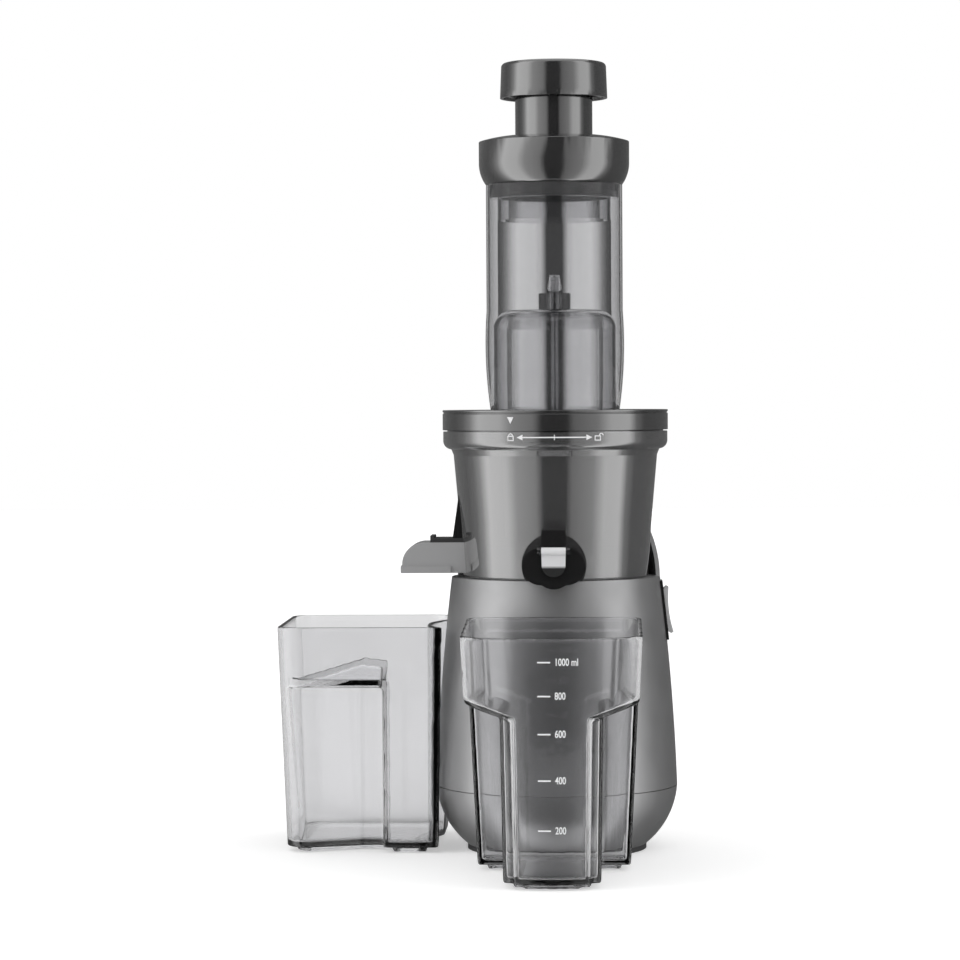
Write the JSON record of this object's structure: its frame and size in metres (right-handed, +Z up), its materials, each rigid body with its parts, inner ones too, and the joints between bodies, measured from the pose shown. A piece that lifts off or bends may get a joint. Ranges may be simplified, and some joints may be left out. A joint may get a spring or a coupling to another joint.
{
  "type": "cold press juicer",
  "caption": "Upright slow juicer with a geared motor base, bowl and auger, wide feed tube with pusher, juice spout, pulp chute, jug and pulp container.",
  "frame": {"origin": "on the juicer's upright axis, at the foot of the housing on the table", "axes": "+Z up, -Y to the front with the juice spout and the jug, +X to the side with the switch"},
  "size_m": [0.2383, 0.276, 0.47],
  "materials": {
    "housing": "satin metallic grey moulding",
    "rubber": "matt",
    "steel": "ground",
    "zinc": "cast",
    "motor_steel": "pressed steel",
    "gear_plastic": "moulded",
    "board": "board with parts",
    "capacitor": "moulded",
    "switch_frame": "gloss",
    "switch_face": "bright gloss",
    "smoke_clear": "smoke-tinted clear",
    "smoke_dark": "dark smoke gloss",
    "black_gloss": "gloss",
    "flap": "gloss",
    "chute_grey": "satin light grey",
    "auger_plastic": "satin",
    "strainer": "satin",
    "mesh": "fine mesh",
    "clear": "clear",
    "jug_clear": "clear",
    "bin_clear": "light smoke clear"
  },
  "bodies": {
    "base": {"base_shell": "housing", "base_bottom": "housing", "foot_ring": "rubber", "case_screws": "steel", "cord_inlet": "rubber", "control_board": "board", "run_capacitor": "capacitor", "switch_bezel": "switch_frame", "motor_can": "motor_steel", "motor_stator": "motor_steel", "motor_end_bell": "zinc", "motor_screws": "steel", "motor_bearings": "steel", "gearbox_case": "zinc", "gearbox_cover": "zinc", "gearbox_screws": "steel", "vibration_mounts": "rubber", "idler_pin": "steel", "output_bearings": "steel", "shaft_seal": "rubber"},
    "rotor": {"motor_rotor": "motor_steel", "motor_shaft": "steel", "cooling_fan": "gear_plastic"},
    "idler": {"idler_gear": "gear_plastic"},
    "output": {"output_gear": "gear_plastic", "drive_shaft": "steel"},
    "switch": {"rocker_switch": "switch_face"},
    "bowl": {"juice_bowl": "smoke_clear", "hub_seat": "rubber", "stem_seal": "rubber", "strainer_frame": "strainer", "strainer_mesh": "mesh", "spout_housing": "black_gloss", "spout_hinge_pin": "steel", "pulp_chute": "chute_grey", "pulp_plug": "rubber", "outlet_cover": "smoke_dark"},
    "flap": {"spout_flap": "flap"},
    "auger": {"auger": "auger_plastic", "auger_spindle": "steel"},
    "lid": {"bowl_lid": "smoke_dark", "feed_tube": "smoke_clear", "feed_dome": "clear", "spindle_bush": "clear", "spindle_cone": "clear"},
    "collar": {"tube_collar": "smoke_dark", "guide_skirt": "clear"},
    "pusher": {"pusher_stem": "smoke_dark", "pusher_cap": "smoke_dark"},
    "jug": {"juice_jug": "jug_clear"},
    "pulp_bin": {"pulp_container": "bin_clear"}
  },
  "joints": [
    {"name": "output_spin", "type": "hinge", "parent": "base", "child": "output", "pos_m": [0, 0, 0.12], "axis": [0, 0, 1], "continuous": true},
    {"name": "idler_spin", "type": "hinge", "parent": "base", "child": "idler", "pos_m": [0, 0.029, 0.11], "axis": [0, 0, 1], "continuous": true},
    {"name": "rotor_spin", "type": "hinge", "parent": "base", "child": "rotor", "pos_m": [0, 0, 0.056], "axis": [0, 0, 1], "continuous": true},
    {"name": "switch_rock", "type": "hinge", "parent": "base", "child": "switch", "pos_m": [0.06082, 0, 0.14216], "axis": [0, 1, 0], "range_deg": [-9, 9]},
    {"name": "bowl_lift", "type": "slide", "parent": "base", "child": "bowl", "axis": [0, 0, 1], "range_m": [0, 0.09]},
    {"name": "auger_spin", "type": "hinge", "parent": "bowl", "child": "auger", "pos_m": [0, 0, 0.2], "axis": [0, 0, 1], "continuous": true},
    {"name": "flap_swing", "type": "hinge", "parent": "bowl", "child": "flap", "pos_m": [0, -0.0822, 0.1815], "axis": [-1, 0, 0], "range_deg": [0, 85]},
    {"name": "lid_turn", "type": "hinge", "parent": "bowl", "child": "lid", "pos_m": [0, 0, 0.256], "axis": [0, 0, 1], "range_deg": [0, 46]},
    {"name": "collar_lift", "type": "slide", "parent": "lid", "child": "collar", "axis": [0, 0, 1], "range_m": [0, 0.04]},
    {"name": "pusher_slide", "type": "slide", "parent": "collar", "child": "pusher", "axis": [0, 0, 1], "range_m": [-0.022, 0.05]},
    {"name": "jug_slide", "type": "slide", "parent": "base", "child": "jug", "axis": [0, -1, 0], "range_m": [0, 0.08]},
    {"name": "bin_slide", "type": "slide", "parent": "base", "child": "pulp_bin", "axis": [-1, 0, 0], "range_m": [0, 0.06]}
  ],
  "couplings": [
    {"joint": "idler_spin", "follows": "output_spin", "ratio": -4.8},
    {"joint": "rotor_spin", "follows": "output_spin", "ratio": 23.04},
    {"joint": "auger_spin", "follows": "output_spin", "ratio": 1}
  ]
}
